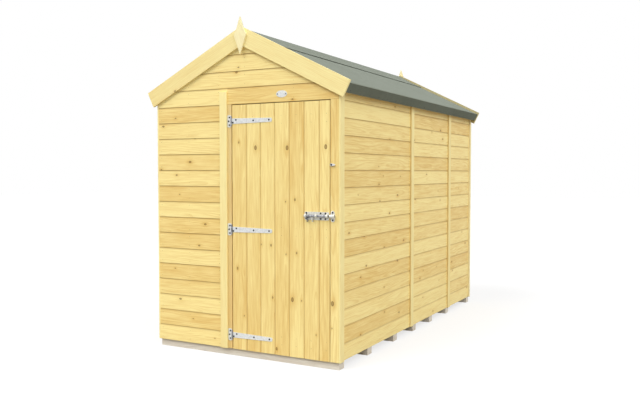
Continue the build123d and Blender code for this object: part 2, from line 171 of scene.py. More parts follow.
class ShedRoofSettings(bpy.types.PropertyGroup):
    """Sizes and colours of the felt"""

    felt_thick: length("Felt thickness", "Thickness of one layer of felt", 0.0025)
    lift: length("Lift", "How far the felt stands off the boards over its nails", 0.005)
    lap: length("Ridge lap", "How far the capping felt reaches down each slope", 0.243)
    lap_lift: length(
        "Lap lift", "How far the edge of the capping stands off the felt below", 0.0035
    )
    ridge_lift: length("Ridge lift", "How far the capping stands off the ridge", 0.009)
    ripple: length("Ripple", "Height of the ripples in the felt", 0.003)
    felt: colour("Felt", "Mineral felt", seen(126, 132, 121))
    # Darker felt, which also paints the shade on the fold at the eaves
    felt_dark: colour("Dark felt", "Bare edges and the fold at the eaves", seen(98, 102, 86))
    clout: colour("Clout", "Heads of the felt nails", seen(112, 114, 104))
    nail_spacing: length("Nail spacing", "Distance between the clout nails", 0.15)


class ShedFittingSettings(bpy.types.PropertyGroup):
    """Sizes and colours of the fittings, screws and nails"""

    screw_radius: length("Screw radius", "Radius of a countersunk screw head", 0.006)
    small_screw_radius: length(
        "Small screw radius", "Radius of the screw heads in the oval plate", 0.004
    )
    nail_radius: length("Nail radius", "Radius of a board nail's head", 0.0014)
    clout_radius: length("Clout radius", "Radius of a felt nail's head", 0.004)
    oval_width: length("Oval width", "Width of the bare oval plate", 0.083)
    oval_height: length("Oval height", "Height of the bare oval plate", 0.046)
    edge: length("Edge", "Width of the rounded edges of the fittings", 0.0005)
    zinc: colour("Zinc", "Bright zinc plate", seen(228, 229, 226))
    zinc_dull: colour("Dull zinc", "Duller patches of the zinc", seen(200, 203, 204))
    galvanised: colour("Galvanised", "Plates of the pad bolt", seen(228, 226, 216))
    galvanised_dark: colour(
        "Dark galvanised", "Darker patches of the pad bolt's plates", seen(184, 185, 178)
    )
    # The rod colours also paint the hinge knuckles darker, as the shade along the pins
    rod: colour("Rod", "Sliding rod of the pad bolt", seen(168, 169, 174))
    rod_dark: colour(
        "Dark rod", "Darker patches of the rod and the hinge knuckles", seen(92, 94, 98)
    )
    screw: colour("Screw", "Head of a screw", seen(40, 37, 34))
    # Painted shade in the screws' cross recesses, and the dark patches of screw and nail heads
    recess: colour("Recess", "Recess in a screw head", seen(20, 19, 18))
    nail: colour("Nail", "Head of a board nail", seen(150, 118, 74))


class ShedStageSettings(bpy.types.PropertyGroup):
    """Camera, lamps and floor"""

    camera_place: bpy.props.FloatVectorProperty(
        name="Camera", description="Place of the camera", default=(2.78805, -5.46671, 1.26908),
        size=3, subtype="TRANSLATION", unit="LENGTH"
    )
    camera_turn: bpy.props.FloatProperty(
        name="Turn", description="Turn of the camera to the left",
        default=math.radians(28.383), unit="ROTATION"
    )
    camera_drop: bpy.props.FloatProperty(
        name="Drop", description="How far the camera looks down",
        default=math.radians(2.223), unit="ROTATION"
    )
    lens: bpy.props.FloatProperty(
        name="Lens", description="Focal length in millimetres", default=40.479, unit="CAMERA"
    )
    floor: colour("Floor", "Colour of the floor", seen(148, 148, 148))
    sky: strength("Sky", "Strength of the even light from all round", 0.38)
    floor_glow: strength("Floor glow", "White added to the floor as the camera sees it", 0.7)


def timber():
    return bpy.context.scene.shed_timber


def roof():
    return bpy.context.scene.shed_roof


def fitting():
    return bpy.context.scene.shed_fitting


def stage():
    return bpy.context.scene.shed_stage


# Modelling helpers

def deselect_all():
    bpy.ops.object.select_all(action="DESELECT")


def pick(piece):
    """Make a piece the only selected one, and the active one."""
    deselect_all()
    piece.select_set(True)
    bpy.context.view_layer.objects.active = piece


def open_mesh(piece):
    pick(piece)
    bpy.ops.object.mode_set(mode="EDIT")
    bpy.ops.mesh.select_all(action="DESELECT")


def close_mesh():
    bpy.ops.object.mode_set(mode="OBJECT")


def apply_place():
    bpy.ops.object.transform_apply(location=True, rotation=True, scale=True)


def name_piece(piece, name):
    piece.name = name
    piece.data.name = name
    return piece


def link_piece(name, data):
    """A piece with its mesh, in the scene."""
    piece = bpy.data.objects.new(name, data)
    bpy.context.scene.collection.objects.link(piece)
    return name_piece(piece, name)


def new_piece(name, mesh):
    """A piece from a bmesh."""
    data = bpy.data.meshes.new(name)
    mesh.to_mesh(data)
    mesh.free()
    return link_piece(name, data)


def add_box(low, high):
    """A box between two corners, with its place in its mesh."""
    deselect_all()
    bpy.ops.mesh.primitive_cube_add(size=1, location=(Vector(low) + Vector(high)) / 2)
    box = bpy.context.object
    box.scale = Vector(high) - Vector(low)
    apply_place()
    return box


def choose(piece, kind, wanted):
    """Select the verts, edges or faces of an open mesh that a test accepts, and nothing else."""
    modes = {"verts": "VERT", "edges": "EDGE", "faces": "FACE"}
    bpy.ops.mesh.select_mode(type=modes[kind])
    bpy.ops.mesh.select_all(action="DESELECT")
    mesh = bmesh.from_edit_mesh(piece.data)
    for item in getattr(mesh, kind):
        if wanted(item):
            item.select_set(True)
    mesh.select_flush_mode()
    bmesh.update_edit_mesh(piece.data)


def cut_through(point, normal, clear=False):
    """Cut an open mesh by a plane; clear removes what is past the plane and closes the cut."""
    bpy.ops.mesh.select_all(action="SELECT")
    bpy.ops.mesh.bisect(plane_co=point, plane_no=normal, use_fill=clear, clear_outer=clear)


def cut_off(piece, *planes):
    """Remove what is past each plane, given as a (point, normal) pair, and close the cuts."""
    open_mesh(piece)
    for point, normal in planes:
        cut_through(point, normal, clear=True)
    close_mesh()


def apply_modifier(piece, kind, **values):
    pick(piece)
    modifier = piece.modifiers.new(kind.lower(), kind)
    for key, value in values.items():
        setattr(modifier, key, value)
    bpy.ops.object.modifier_apply(modifier=modifier.name)


def ease(piece, width, degrees, segments=2):
    """Round the edges that turn by more than an angle."""
    apply_modifier(piece, "BEVEL", width=width, segments=segments, limit_method="ANGLE",
                   angle_limit=math.radians(degrees))


def smooth(piece, degrees):
    """Smooth shading over edges below an angle, with the wide flat faces kept flat."""
    pick(piece)
    bpy.ops.object.shade_smooth_by_angle(angle=math.radians(degrees))
    apply_modifier(piece, "WEIGHTED_NORMAL", keep_sharp=True)


def drop(piece):
    """Remove a template after it was copied."""
    mesh = piece.data
    bpy.data.objects.remove(piece)
    bpy.data.meshes.remove(mesh)


def join_pieces(name, pieces):
    """Join several pieces into one."""
    pick(pieces[0])
    for piece in pieces[1:]:
        piece.select_set(True)
    bpy.ops.object.join()
    return name_piece(bpy.context.object, name)


def stand_for(piece, node, kind=None):
    """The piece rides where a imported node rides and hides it.

    Its finish is that of the node's slot, or another kind.
    """
    slot = slot_of[node]
    piece.data.materials.clear()
    piece.data.materials.append(finish(kind or slot))
    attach(piece, body_of[node])
    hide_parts(node)
    return piece


def refinish(piece, kind, wanted):
    """Give the faces of a piece that a test accepts a second finish."""
    piece.data.materials.append(finish(kind))
    for face in piece.data.polygons:
        if wanted(face):
            face.material_index = 1


def loose_parts(mesh):
    """The separate solids of a bmesh, as lists of verts."""
    left = set(mesh.verts)
    parts = []
    for seed in mesh.verts:
        if seed not in left:
            continue
        left.discard(seed)
        part = [seed]
        for vert in part:
            for edge in vert.link_edges:
                other = edge.other_vert(vert)
                if other in left:
                    left.discard(other)
                    part.append(other)
        parts.append(part)
    return parts


def solid_boxes(node):
    """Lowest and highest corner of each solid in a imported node, from the lowest solid up."""
    mesh = bmesh.new()
    mesh.from_mesh(frame["nodes"][node].data)
    bmesh.ops.remove_doubles(mesh, verts=mesh.verts, dist=weld)
    boxes = []
    for part in loose_parts(mesh):
        low = Vector([min(vert.co[axis] for vert in part) for axis in range(3)])
        high = Vector([max(vert.co[axis] for vert in part) for axis in range(3)])
        boxes.append((low, high))
    mesh.free()
    return sorted(boxes, key=lambda box: tuple(round(value, 4) for value in reversed(box[0])))


def spaced(start, end, step):
    """Numbers from a start on, a step apart, that lie below an end."""
    numbers = []
    while start < end:
        numbers.append(start)
        start += step
    return numbers


def out_of(side):
    """The way out of the room, square to one slope of the roof."""
    return Vector((side * slope_sin, 0, slope_cos))


def down_from(side):
    """The way down one slope of the roof."""
    return Vector((side * slope_cos, 0, -slope_sin))


# Node helpers

class Tree:
    """Adds nodes to a tree and wires them as they are made."""

    columns = 12
    column_width = 180
    row_height = 260

    def __init__(self, tree):
        self.tree = tree
        self.count = 0

    def add(self, kind, inputs=None, **values):
        node = self.tree.nodes.new(kind)
        row, column = divmod(self.count, self.columns)
        node.location = (self.column_width * column, -self.row_height * row)
        self.count += 1
        for key, value in values.items():
            setattr(node, key, value)
        for key, value in (inputs or {}).items():
            self.feed(node.inputs[key], value)
        return node

    def feed(self, socket, value):
        if isinstance(value, bpy.types.NodeSocket):
            self.tree.links.new(value, socket)
        else:
            socket.default_value = value

    def math(self, operation, first, second=0.0, third=0.0, clamp=False):
        inputs = {0: first, 1: second, 2: third}
        node = self.add("ShaderNodeMath", inputs, operation=operation, use_clamp=clamp)
        return node.outputs[0]

    def vector(self, operation, first, second=(0, 0, 0)):
        node = self.add("ShaderNodeVectorMath", {0: first, 1: second}, operation=operation)
        return node.outputs["Value" if operation == "LENGTH" else "Vector"]

    def joined(self, x, y, z=0.0):
        """A vector from its three parts."""
        return self.add("ShaderNodeCombineXYZ", {"X": x, "Y": y, "Z": z}).outputs[0]

    def parts(self, vector):
        """The three parts of a vector."""
        return self.add("ShaderNodeSeparateXYZ", {0: vector}).outputs

    def mix(self, factor, first, second):
        node = self.add("ShaderNodeMix", {0: factor, 6: first, 7: second}, data_type="RGBA")
        return node.outputs[2]

    def fade(self, value, low, high):
        """Smooth step from 0 at one level of a value to 1 at another."""
        inputs = {"Value": value, "From Min": low, "From Max": high}
        node = self.add("ShaderNodeMapRange", inputs, interpolation_type="SMOOTHSTEP")
        return node.outputs["Result"]

    def noise(self, vector, scale, detail, roughness):
        inputs = {"Vector": vector, "Scale": scale, "Detail": detail, "Roughness": roughness}
        return self.add("ShaderNodeTexNoise", inputs).outputs[0]

    def total(self, rows, start=0.0):
        """A start plus the rows' values, each less its middle level and times its amount."""
        for value, middle, amount in rows:
            away = self.math("SUBTRACT", value, middle)
            start = self.math("MULTIPLY_ADD", away, amount, start)
        return start

    def attribute(self, name, socket="Fac"):
        """What the piece's mesh says under a name."""
        return self.add("ShaderNodeAttribute", attribute_name=name).outputs[socket]

    def surface(self, inputs, height, bump, depth):
        """The material's surface, with a height for its relief, how strong it is and how deep."""
        relief = {"Strength": bump, "Distance": depth, "Height": height}
        normal = self.add("ShaderNodeBump", relief).outputs[0]
        shader = self.add("ShaderNodeBsdfPrincipled", {**inputs, "Normal": normal})
        self.add("ShaderNodeOutputMaterial", {"Surface": shader.outputs[0]})


def full(shade):
    """A colour with its alpha."""
    return (*shade, 1.0)


def empty_tree(owner):
    """The node tree of a material or world, with nothing in it."""
    owner.use_nodes = True
    owner.node_tree.nodes.clear()
    return Tree(owner.node_tree)


def new_material(name):
    material = bpy.data.materials.new(name)
    return material, empty_tree(material)


# Finishes

# Knots: length and width of a place that may hold one, how much its length along the board
# counts, its least radius and what chance adds to it, and the reach of a listed one
knot_cell = (0.34, 0.1)
knot_stretch = 0.62
knot_least = 0.003
knot_gain = 0.005
marked_reach = 0.05

# Softwood: width of a growth ring, how far the rings wander, and how far a knot's halo reaches
# and bends them
ring_width = 0.0085
ring_drift = 0.06
halo_reach = 2.6
halo_pull = 0.85

# Gain and start of what changes with the tone or the streaks, and the strength of the painted
# shade in the grooves and of the knots
figure_by_tone = (0.15, 0.73)
shade_by_tone = (0.85, 0.07)
shine_by_streak = (0.2, 0.42)
groove_shade_strength = 0.45
core_outside = 1.05
core_inside = 0.55
core_strength = 0.62
rim_strength = 2.4


def knot_cells(tree, along, across, knots, mark):
    """Distance to the nearest knot, its radius, whether it is there, and the way across to it.

    mark is the way from a listed knot, and its Y is that knot's radius, or 0 for no knot.
    """
    cell_long, cell_wide = knot_cell
    place = tree.joined(
        tree.math("DIVIDE", along, cell_long), tree.math("DIVIDE", across, cell_wide)
    )
    inputs = {"Vector": place, "Scale": 1.0, "Randomness": 0.9}
    cells = tree.add("ShaderNodeTexVoronoi", inputs, voronoi_dimensions="2D").outputs
    away = tree.vector("SUBTRACT", place, cells["Position"])
    away = tree.vector("MULTIPLY", away, (cell_long * knot_stretch, cell_wide, 0))
    chance = tree.add("ShaderNodeSeparateColor", {0: cells["Color"]}).outputs
    radius = tree.math("MULTIPLY_ADD", chance[1], knot_gain, knot_least)
    marks = tree.parts(mark)
    flat = tree.vector("MULTIPLY", mark, (knot_stretch, 0, 1))
    mark_distance = tree.vector("LENGTH", flat)
    marked = tree.math(
        "MULTIPLY", tree.math("LESS_THAN", mark_distance, marked_reach),
        tree.math("GREATER_THAN", marks["Y"], 0.0)
    )

    def chosen(marked_value, value):
        return tree.add("ShaderNodeMix", {0: marked, 2: value, 3: marked_value}).outputs[0]

    return (
        chosen(mark_distance, tree.vector("LENGTH", away)),
        chosen(marks["Y"], radius),
        chosen(1.0, tree.math("LESS_THAN", chance[0], knots)),
        chosen(marks["Z"], tree.parts(away)["Y"]),
    )


def timber_group():
    """Softwood cut from a round trunk: growth rings, fibres, broad streaks and knots.

    Grain is the way along the trunk, and the way across from its heart, in metres. The Groove
    colour is the shade painted into the grooves.
    """
    name = "Softwood grain"
    if name in bpy.data.node_groups:
        return bpy.data.node_groups[name]
    group = bpy.data.node_groups.new(name, "ShaderNodeTree")
    for direction, kind, sockets in (
        ("INPUT", "NodeSocketVector", ("Grain", "Mark")),
        ("INPUT", "NodeSocketFloat", ("Tone", "Seam", "Knots", "Figure")),
        ("INPUT", "NodeSocketColor", ("Pale", "Deep", "Knot", "Groove")),
        ("OUTPUT", "NodeSocketColor", ("Color",)),
        ("OUTPUT", "NodeSocketFloat", ("Height", "Roughness")),
    ):
        for socket in sockets:
            group.interface.new_socket(name=socket, in_out=direction, socket_type=kind)
    tree = Tree(group)
    given = tree.add("NodeGroupInput").outputs
    along, depth, across = tree.parts(given["Grain"])
    distance, radius, there, sideways = knot_cells(
        tree, along, across, given["Knots"], given["Mark"]
    )

    def product(*values):
        result = values[0]
        for value in values[1:]:
            result = tree.math("MULTIPLY", result, value)
        return result

    def stretched(scales, sideways_place, detail):
        """Noise that is drawn out along the grain."""
        places = zip((along, depth, sideways_place), scales)
        place = tree.joined(*(product(value, scale) for value, scale in places))
        return tree.noise(place, 1.0, detail, 0.6)

    spread = tree.math("DIVIDE", distance, product(radius, halo_reach))
    halo = product(tree.math("EXPONENT", product(spread, spread, -1.0)), there)
    drift = tree.total([(stretched((1.3, 5.0, 7.0), across, 2.0), 0.5, ring_drift)])
    bent = tree.math("SUBTRACT", across, product(sideways, halo, halo_pull))
    bent = tree.math("ADD", bent, drift)
    heartwood = tree.math("ADD", depth, drift)
    square = tree.math("ADD", product(bent, bent), product(heartwood, heartwood))
    ring = tree.math("FRACT", tree.math("DIVIDE", tree.math("SQRT", square), ring_width))
    late = product(tree.fade(ring, 0.25, 0.86), tree.fade(ring, 1.0, 0.9))
    patch = stretched((2.6, 9.0, 20.0), bent, 2.0)
    streak = stretched((5.5, 30.0, 84.0), bent, 4.0)
    fibre = stretched((12.0, 420.0, 420.0), bent, 2.0)

    # Colour, from the palest to the deepest wood, with painted shade in the grooves and the knots
    # over it
    marks = tree.total([
        (late, 0.4, 0.36), (patch, 0.5, 0.9), (streak, 0.5, 1.7), (fibre, 0.5, 0.4),
        (halo, 0.0, 0.6)
    ])
    figure = product(given["Figure"], tree.math("MULTIPLY_ADD", given["Tone"], *figure_by_tone))
    shade = tree.math("MULTIPLY_ADD", given["Tone"], *shade_by_tone)
    shade = tree.math("MULTIPLY_ADD", marks, figure, shade, clamp=True)
    wood = tree.mix(shade, given["Pale"], given["Deep"])
    # Painted shade in the grooves
    wood = tree.mix(product(given["Seam"], groove_shade_strength), wood, given["Groove"])
    outside, inside = product(radius, core_outside), product(radius, core_inside)
    core = product(tree.fade(distance, outside, inside), there)
    rim = product(core, tree.math("SUBTRACT", 1.0, core), rim_strength)
    eye = tree.math("MULTIPLY_ADD", core, core_strength, rim, clamp=True)
    wood = tree.mix(eye, wood, given["Knot"])

    # Relief and shine
    height = tree.total([(fibre, 0.0, 0.5), (late, 0.0, -0.5), (core, 0.0, 0.5)])
    rough = tree.math("MULTIPLY_ADD", streak, *shine_by_streak)
    tree.add("NodeGroupOutput", {"Color": wood, "Height": height, "Roughness": rough})
    return group


def timber_finish(name, pale, deep, knots, figure, bump):
    """Timber, which reads its grain, tone, painted groove shade and listed knots from the piece.
    """
    material, tree = new_material(name + " timber")
    inputs = {
        "Grain": tree.attribute("grain", "Vector"), "Tone": tree.attribute("tone"),
        "Seam": tree.attribute("seam"), "Mark": tree.attribute("mark", "Vector"),
        "Pale": full(pale), "Deep": full(deep), "Knot": full(timber().knot),
        "Groove": full(timber().groove), "Knots": knots, "Figure": figure,
    }
    group = tree.add("ShaderNodeGroup", node_tree=timber_group())
    for socket, value in inputs.items():
        tree.feed(group.inputs[socket], value)
    wood = group.outputs
    skin = {
        "Base Color": wood["Color"], "Roughness": wood["Roughness"], "Specular IOR Level": 0.3
    }
    tree.surface(skin, wood["Height"], bump, 0.0006)
    return material


def felt_finish():
    """Mineral felt: fine granules, broad patches and painted shade on the fold, marked on the
    piece.
    """
    material, tree = new_material("mineral felt")
    place = tree.add("ShaderNodeTexCoord").outputs["Object"]
    grit = tree.noise(place, 620.0, 3.0, 0.7)
    patch = tree.noise(place, 2.4, 3.0, 0.6)
    cloud = tree.noise(place, 26.0, 4.0, 0.65)
    shade = tree.total([(grit, 0.5, 1.5), (patch, 0.5, 0.5), (cloud, 0.5, 0.35)], 0.12)
    # Painted shade on the fold at the eaves
    shade = tree.math("ADD", shade, tree.attribute("fold"), clamp=True)
    skin = {
        "Base Color": tree.mix(shade, full(roof().felt), full(roof().felt_dark)),
        "Roughness": tree.math("MULTIPLY_ADD", grit, 0.2, 0.76),
        "Specular IOR Level": 0.2,
    }
    tree.surface(skin, grit, 0.6, 0.0012)
    return material


def metal_finish(name, bright, dull, metallic, rough):
    """Plated steel with soft patches in its shine."""
    material, tree = new_material(name)
    place = tree.add("ShaderNodeTexCoord").outputs["Object"]
    patch = tree.noise(place, 70.0, 3.0, 0.6)
    skin = {
        "Base Color": tree.mix(tree.fade(patch, 0.3, 0.75), full(bright), full(dull)),
        "Metallic": metallic,
        "Roughness": tree.math("MULTIPLY_ADD", patch, 0.22, rough),
    }
    tree.surface(skin, tree.noise(place, 900.0, 2.0, 0.6), 0.12, 0.0004)
    return material


def timber_rows():
    """Timber finishes: name, palest and deepest wood, share of knots, figure and relief."""
    wood = timber()
    return {
        "boards": ("boards", wood.pale, wood.deep, wood.knots, wood.figure, 0.5),
        "door_boards": ("door", wood.pale, wood.deep, wood.door_knots, wood.figure, 0.5),
        "trim": ("trim", wood.trim, wood.deep, 0.15, wood.trim_figure, 0.4),
        "barge": ("barge", wood.trim, wood.deep, 0.2, wood.trim_figure, 0.4),
        "pale_trim": ("pale trim", wood.pale_trim, wood.deep, 0.0, wood.trim_figure, 0.3),
        "posts": ("posts", wood.pale, wood.deep, 0.4, wood.figure, 0.4),
        # Painted shade on the hinge post and on the edges of the side strips
        "grey_post": ("grey post", wood.grey, wood.deep, 0.4, wood.trim_figure, 0.4),
        "weathered": ("weathered", wood.weathered, wood.deep, 0.0, wood.trim_figure, 0.4),
        "framing": ("framing", wood.inner, wood.deep, 0.25, wood.figure, 0.7),
        "decking": ("decking", wood.inner, wood.deep, 0.3, wood.figure, 0.5),
        "bearer": ("bearer", wood.bearer, wood.bearer_deep, 0.1, 0.8, 1.0),
    }


def metal_rows():
    """Metal finishes: name, bright and dull patches, how metallic, and how rough."""
    metal = fitting()
    return {
        "zinc": ("zinc plate", metal.zinc, metal.zinc_dull, 0.7, 0.28),
        "galvanised": ("galvanised steel", metal.galvanised, metal.galvanised_dark, 0.6, 0.5),
        "rod": ("rod steel", metal.rod, metal.rod_dark, 0.7, 0.42),
        # Painted shade on the hinge knuckles
        "knuckle": ("knuckle steel", metal.rod, metal.rod_dark, 0.6, 0.5),
        "screw": ("screw head", metal.screw, metal.recess, 0.25, 0.55),
        # Painted shade in the screw recesses
        "recess": ("screw recess", metal.recess, metal.screw, 0.2, 0.6),
        "nail": ("nail head", metal.nail, metal.recess, 0.3, 0.5),
        "clout": ("clout head", roof().clout, metal.screw, 0.3, 0.6),
    }


made = {}


def finish(kind):
    """The material of a finish, made when it is first asked for."""
    if kind not in made:
        if kind == "felt":
            made[kind] = felt_finish()
        elif kind in timber_rows():
            made[kind] = timber_finish(*timber_rows()[kind])
        else:
            made[kind] = metal_finish(*metal_rows()[kind])
    return made[kind]


# Boards

def tongued_board(size, thick, cover, lower, upper, seams=(True, True)):
    """A board along X with its face on y = 0, a groove below and a tongue above.

    lower and upper are the height and depth of the slopes along the face's two edges, and seams
    says which of them lie in a joint and take painted shade.
    """
    wood = timber()
    top = cover - wood.joint
    board = add_box((0, 0, 0), (size, thick, top))
    near = thick / 3
    far = 2 * thick / 3
    open_mesh(board)
    for depth in (near, far):
        cut_through((0, depth, 0), (0, 1, 0))
    for level in (lower[0], top - upper[0]):
        cut_through((0, 0, level), upright)
    for side, reach in ((1, wood.tongue), (-1, wood.tongue + wood.joint)):
        choose(board, "faces", lambda face: face.normal.z * side > squarely
               and near < face.calc_center_median().y < far)
        bpy.ops.mesh.extrude_region_move(TRANSFORM_OT_translate={"value": (0, 0, reach)})
    choose(board, "verts", lambda vert: vert.co.y < weld and vert.co.z < weld)
    bpy.ops.transform.translate(value=(0, lower[1], 0))
    choose(board, "verts", lambda vert: vert.co.y < weld and vert.co.z > top - weld)
    bpy.ops.transform.translate(value=(0, upper[1], 0))
    bpy.ops.mesh.select_all(action="SELECT")
    bpy.ops.mesh.remove_doubles(threshold=weld)
    close_mesh()
    # The slopes at joints get painted shade, on their front verts
    seam = board.data.attributes.new("seam", "FLOAT", "POINT").data
    for vert in board.data.vertices:
        below = seams[0] and vert.co.z < lower[0] - weld
        above = seams[1] and vert.co.z > top - upper[0] + weld
        seam[vert.index].value = float((below or above) and vert.co.y < near + weld)
    return board


# Height and depth of the slope along a board's edge

def eased_edge():
    return (timber().arris, timber().arris)


def wall_edge():
    return (timber().groove_height, timber().groove_depth)


def door_edge():
    return (timber().door_groove, timber().groove_depth)


# Ranges of how far along its trunk a board starts, and of how far the trunk's heart lies behind
# its face and from its lower edge
heart_ranges = ((0, 60), (0.012, 0.07), (-0.06, 0.06))


def heart(draw):
    """Where a board's grain starts."""
    return Vector([draw.uniform(low, high) for low, high in heart_ranges])


def lay_boards(name, board, places, knots=(), deeper=0.0):
    """One piece from copies of a board, each with its own grain; places are (matrix, tone) pairs.

    knots are (point on a board's face, radius) pairs, at most one to a board, and deeper is how
    much a board's tone gains over its length.
    """
    draw = random.Random(name)
    reach = max((vert.co for vert in board.data.vertices), key=lambda corner: corner.x + corner.z)
    mesh = bmesh.new()
    for layer in ("grain", "mark"):
        mesh.verts.layers.float_vector.new(layer)
    for layer in ("tone", "seam"):
        mesh.verts.layers.float.new(layer)
    for matrix, shade in places:
        first = len(mesh.verts)
        mesh.from_mesh(board.data)
        mesh.verts.ensure_lookup_table()
        grain = mesh.verts.layers.float_vector["grain"]
        mark = mesh.verts.layers.float_vector["mark"]
        tone = mesh.verts.layers.float["tone"]
        start = heart(draw)
        inside = []
        for point, radius in knots:
            point = matrix.inverted() @ Vector(point)
            if 0 < point.x < reach.x and 0 < point.z < reach.z:
                inside.append((point, radius))
        for vert in mesh.verts[first:]:
            vert[grain] = vert.co + start
            for point, radius in inside[:1]:
                vert[mark] = (vert.co.x - point.x, radius, vert.co.z - point.z)
            vert[tone] = shade + deeper * vert.co.x / reach.x
            vert.co = matrix @ vert.co
    return new_piece(name, mesh)


# Ranges of tone, from 0 for the palest wood to 1 for the deepest
dark_tones = (0.42, 0.54)
middling_tones = (0.22, 0.34)
pale_tones = (0.0, 0.14)
roof_tones = (0.1, 0.55)
floor_tones = (0.1, 0.6)


def tones(rows, darker, middling, draw):
    """A tone for each row, counted from 1 at the bottom."""
    result = []
    for row in range(1, rows + 1):
        tone_range = pale_tones
        if row in darker:
            tone_range = dark_tones
        elif row in middling:
            tone_range = middling_tones
        result.append(draw.uniform(*tone_range))
    return result


def stacked(turn, corner, shades, first_row):
    """Places of boards that stand one over another; turn is about the upright axis, in degrees."""
    around = Matrix.Rotation(math.radians(turn), 4, "Z")
    places = []
    for number, shade in enumerate(shades):
        height = wall_bottom + (first_row - 1 + number) * board_cover
        places.append((Matrix.Translation((corner[0], corner[1], height)) @ around, shade))
    return places


def board_wall(node, turn, corner, size, shades, first_row=1, knots=()):
    """Boards that stand for a packed wall panel."""
    board = tongued_board(size, cladding, board_cover, eased_edge(), wall_edge())
    piece = lay_boards(node + "_boards", board, stacked(turn, corner, shades, first_row), knots)
    drop(board)
    return piece


def trim_to_roof(piece):
    """Cut a gable's boards off along the two slopes."""
    cut_off(piece, *(((0, 0, ridge_height), out_of(side)) for side in sides.values()))


# Knots listed on the front: place across and up, and radius
lintel_knots = [((0.394, front_face, 1.743), 0.005)]
door_knots = [((x, front_face, z), radius) for x, z, radius in (
    (-0.03, 1.47, 0.005), (0.105, 1.432, 0.0105), (0.352, 1.428, 0.0105), (0.391, 0.43, 0.0105),
    (0.639, 1.43, 0.0105)
)]
post_knot = ((0.688, front_face, 0.429), 0.011)


class SHED_OT_front_boards(bpy.types.Operator):
    """Boards left of the door and over it"""

    bl_idname = "shed.front_boards"
    bl_label = "Front boards"

    def execute(self, context):
        draw = random.Random("front")
        low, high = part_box("front_wall_left")
        shades = tones(door_rows, (2, 5, 7, 8, 10, 15), (4, 12), draw)
        piece = board_wall("front_wall_left", 0, low, high.x - low.x, shades)
        cut_off(piece, ((0, 0, lintel_bottom), upright))
        smooth(stand_for(piece, "front_wall_left"), board_angle)
        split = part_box("front_cover_strip")[1].x
        shades = tones(1, (), (), draw)
        left = board_wall("front_gable_left", 0, low, split - low.x, shades, wall_rows)
        shades = tones(1, (1,), (), draw)
        over_door = board_wall("front_gable_right", 0, (split, low.y), half_width - split,
                               shades, wall_rows, lintel_knots)
        shades = tones(gable_rows - wall_rows, (), (), draw)
        above = board_wall("front_gable_upper", 0, low, 2 * half_width, shades, wall_rows + 1)
        gable = join_pieces("front_gable_boards", [left, over_door, above])
        trim_to_roof(gable)
        smooth(stand_for(gable, "front_gable"), board_angle)
        return {"FINISHED"}


class SHED_OT_back_boards(bpy.types.Operator):
    """Boards of the back wall"""

    bl_idname = "shed.back_boards"
    bl_label = "Back boards"

    def execute(self, context):
        shades = tones(gable_rows, (3, 6, 11, 14), (2, 8, 9, 17), random.Random("back"))
        piece = board_wall("back_wall", 180, (half_width, back_face), 2 * half_width, shades)
        trim_to_roof(piece)
        smooth(stand_for(piece, "back_wall"), board_angle)
        return {"FINISHED"}


# Rows of each side panel that come darker and middling, from the front panel back
darker_rows = ((2, 5, 7, 11, 13), (4, 12, 15), (4, 8, 15))
middling_rows = ((4, 8, 10, 12, 14), (5, 7, 8, 10), (2, 5, 7, 10, 12))


class SHED_OT_side_boards(bpy.types.Operator):
    """Boards of the side panels"""

    bl_idname = "shed.side_boards"
    bl_label = "Side boards"

    def execute(self, context):
        for side_name, side in sides.items():
            draw = random.Random(side_name)
            for number, (darker, middling) in enumerate(zip(darker_rows, middling_rows), 1):
                node = f"{side_name}_wall_{number}"
                low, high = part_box(node)
                corner = (side * half_width, low.y if side > 0 else high.y)
                shades = tones(wall_rows, darker, middling, draw)
                piece = board_wall(node, side * 90, corner, high.y - low.y, shades)
                smooth(stand_for(piece, node), board_angle)
        return {"FINISHED"}


class SHED_OT_door_boards(bpy.types.Operator):
    """Upright boards of the door"""

    bl_idname = "shed.door_boards"
    bl_label = "Door boards"

    def execute(self, context):
        low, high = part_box("door_boards")
        draw = random.Random("door leaf")
        first_edge = low.x + timber().first_door_board
        edges = [low.x, *spaced(first_edge, high.x, board_cover), high.x]
        count = len(edges) - 1
        foot_shades = tones(count, (1, 2, 4, 7), (3, 6), draw)
        top_shades = tones(count, (5,), (1,), draw)
        turn = Matrix.Rotation(math.radians(-90), 4, "Y")
        pieces = []
        for number, (left, right) in enumerate(zip(edges, edges[1:])):
            seams = (number < count - 1, number > 0)
            lower, upper = (door_edge() if joined else eased_edge() for joined in seams)
            board = tongued_board(high.z - low.z, cladding, right - left, lower, upper, seams)
            place = Matrix.Translation((right, low.y, low.z)) @ turn
            shade = foot_shades[number]
            deeper = top_shades[number] - shade
            name = f"door_board_{number}"
            pieces.append(lay_boards(name, board, [(place, shade)], door_knots, deeper))
            drop(board)
        leaf = join_pieces("door_leaf_boards", pieces)
        cut_off(leaf, ((low.x, 0, 0), (-1, 0, 0)))
        smooth(stand_for(leaf, "door_boards"), board_angle)
        return {"FINISHED"}


# Planed timbers

